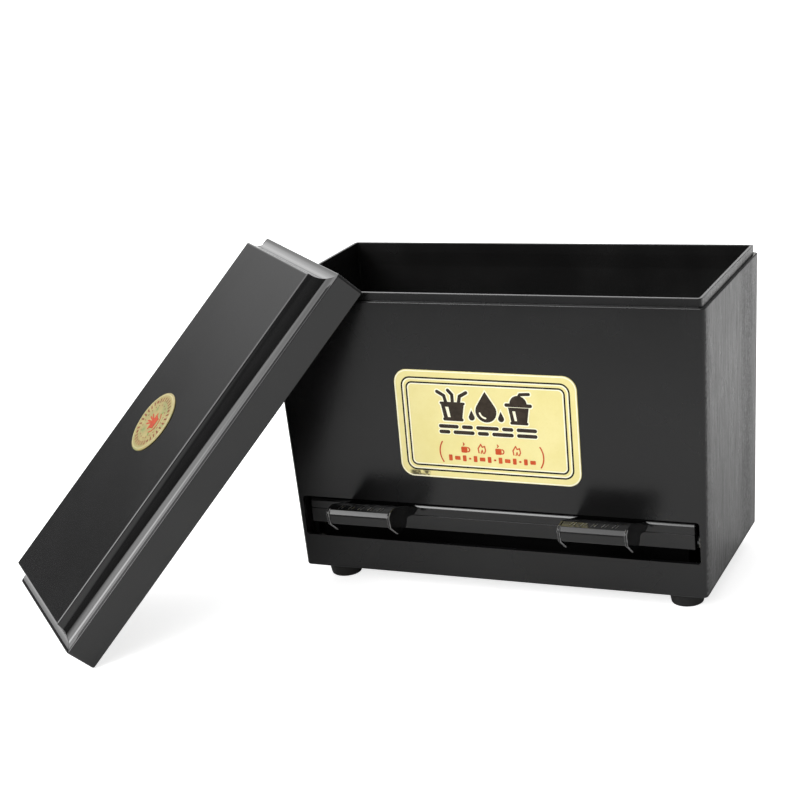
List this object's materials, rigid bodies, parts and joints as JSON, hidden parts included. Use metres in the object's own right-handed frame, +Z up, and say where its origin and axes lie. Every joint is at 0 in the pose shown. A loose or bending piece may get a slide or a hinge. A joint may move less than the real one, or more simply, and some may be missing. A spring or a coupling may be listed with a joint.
{
  "type": "straw dispenser",
  "caption": "Countertop straw box with sloping hopper, sprung press bar with lever tabs in a front slot, rubber feet and a loose lid leaning on one corner.",
  "frame": {"origin": "on the table plane, at the middle of the front left foot's underside", "axes": "+Z up, +X to the box's right as seen from the front, the slot and levers face -Y; the lid leans on the front left corner"},
  "size_m": [0.4352, 0.2791, 0.2063],
  "materials": {
    "black_gloss_plastic": "black moulded plastic, semi-gloss with a fine orange-peel texture",
    "black_lid_plastic": "black moulded plastic, fine matt grain on the panel and gloss on the cove and skirt",
    "inner_plastic": "black moulded plastic, plain inside finish",
    "foot_rubber": "black rubber, matt",
    "zinc_steel": "zinc-plated steel",
    "spring_steel": "bright spring wire",
    "bush_acetal": "natural acetal",
    "label_print": "pale yellow-gold printed plate, satin",
    "badge_foil": "gold printed disc, satin"
  },
  "bodies": {
    "box": {"body_shell": "black_gloss_plastic", "base_plate": "inner_plastic", "base_screws": "zinc_steel", "foot_front_left": "foot_rubber", "foot_front_right": "foot_rubber", "foot_rear_left": "foot_rubber", "foot_rear_right": "foot_rubber", "foot_screws": "zinc_steel", "side_frame_left": "inner_plastic", "side_frame_right": "inner_plastic", "frame_screws": "zinc_steel", "hopper_floor": "inner_plastic", "floor_screws": "zinc_steel", "bush_left": "bush_acetal", "bush_right": "bush_acetal", "return_spring_left": "spring_steel", "return_spring_right": "spring_steel", "front_label": "label_print"},
    "rocker": {"feed_rocker": "inner_plastic", "press_bar": "black_gloss_plastic", "lever_left": "black_gloss_plastic", "lever_right": "black_gloss_plastic", "lever_screws": "zinc_steel", "rocker_shaft": "zinc_steel"},
    "lid": {"lid_panel": "black_lid_plastic", "lid_cove_front": "black_lid_plastic", "lid_cove_back": "black_lid_plastic", "lid_cove_left": "black_lid_plastic", "lid_cove_right": "black_lid_plastic", "lid_skirt_front": "black_lid_plastic", "lid_skirt_back": "black_lid_plastic", "lid_skirt_left": "black_lid_plastic", "lid_skirt_right": "black_lid_plastic", "lid_badge": "badge_foil"}
  },
  "joints": [
    {"name": "lever_press", "type": "hinge", "parent": "box", "child": "rocker", "pos_m": [0.1115, -0.0015, 0.04], "axis": [1, 0, 0], "range_deg": [0, 28], "stiffness_Nm_per_rad": 0.25, "springref_deg": -34.38, "deforming": ["return_spring_left", "return_spring_right"]},
    {"name": "lid_lift", "type": "slide", "parent": "box", "child": "lid", "axis": [0, 0, 1], "range_m": [0, 0.21]}
  ]
}
